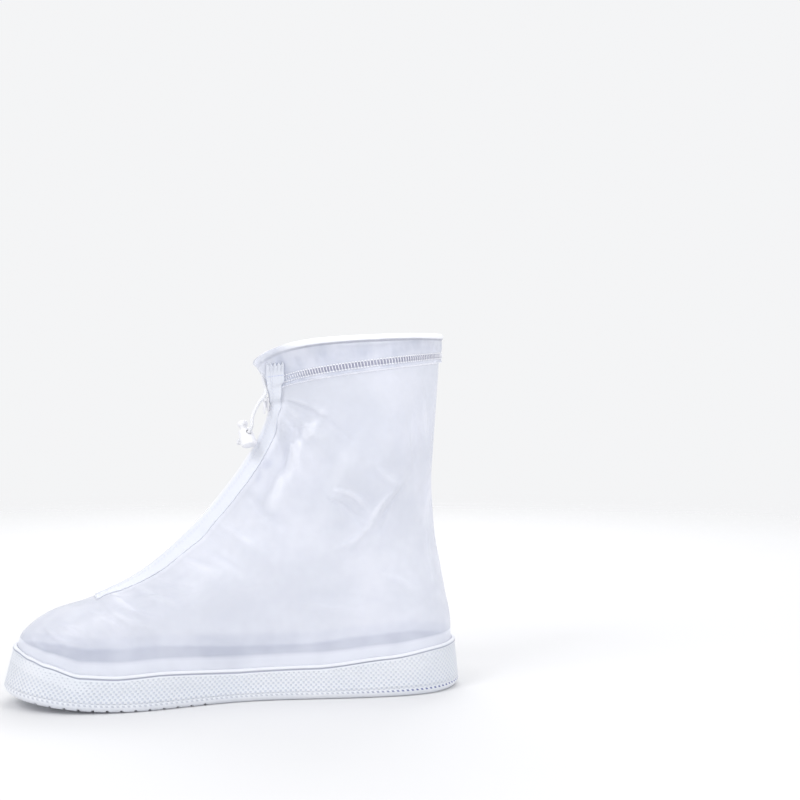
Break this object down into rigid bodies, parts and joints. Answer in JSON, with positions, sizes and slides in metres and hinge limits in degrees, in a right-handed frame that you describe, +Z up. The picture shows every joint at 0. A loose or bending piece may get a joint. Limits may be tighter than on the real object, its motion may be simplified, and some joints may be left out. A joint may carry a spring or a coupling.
{
  "type": "rain shoe cover",
  "caption": "Zip-up waterproof shoe cover with a frosted film upper, moulded tray sole, hemmed drawcord cuff and two spring cord locks.",
  "frame": {"origin": "middle of the bounding box in plan, on the ground under the sole", "axes": "toe to -X, heel to +X, inner (big toe) side to -Y, outer side to +Y, +Z up"},
  "size_m": [0.289, 0.1047, 0.2304],
  "materials": {
    "film": "frosted translucent vinyl film, satin, slight lilac-blue tint",
    "hem": "the same film doubled, whiter",
    "sole": "moulded milky vinyl, fine raised diamonds on the sidewall",
    "tape": "woven white polyester tape",
    "coil": "white nylon coil",
    "elastic": "round braided white elastic",
    "plastic": "white moulded plastic"
  },
  "bodies": {
    "cover": {"sole": "sole", "upper_film": "film", "cuff": "hem", "drawcord_rim": "elastic", "zip_tape_inner": "tape", "zip_tape_outer": "tape", "zip_coil": "coil", "zip_slider": "plastic", "cord_end_inner": "elastic", "cord_lock_inner": "plastic", "cord_knot_inner": "elastic", "cord_end_outer": "elastic", "cord_lock_outer": "plastic", "cord_knot_outer": "elastic"},
    "plunger_inner": {"lock_plunger_inner": "plastic"},
    "plunger_outer": {"lock_plunger_outer": "plastic"},
    "pull": {"zip_pull": "plastic"}
  },
  "joints": [
    {"name": "plunger_inner_press", "type": "slide", "parent": "cover", "child": "plunger_inner", "axis": [0.2599, -0.4198, -0.8696], "range_m": [0, 0.0022], "stiffness_N_per_m": 400, "springref_m": -0.004},
    {"name": "plunger_outer_press", "type": "slide", "parent": "cover", "child": "plunger_outer", "axis": [0.6804, 0.7104, -0.1801], "range_m": [0, 0.0022], "stiffness_N_per_m": 400, "springref_m": -0.004},
    {"name": "pull_swing", "type": "hinge", "parent": "cover", "child": "pull", "pos_m": [0.01673, 0.00197, 0.18702], "axis": [0, 1, 0], "range_deg": [0, 120]}
  ]
}
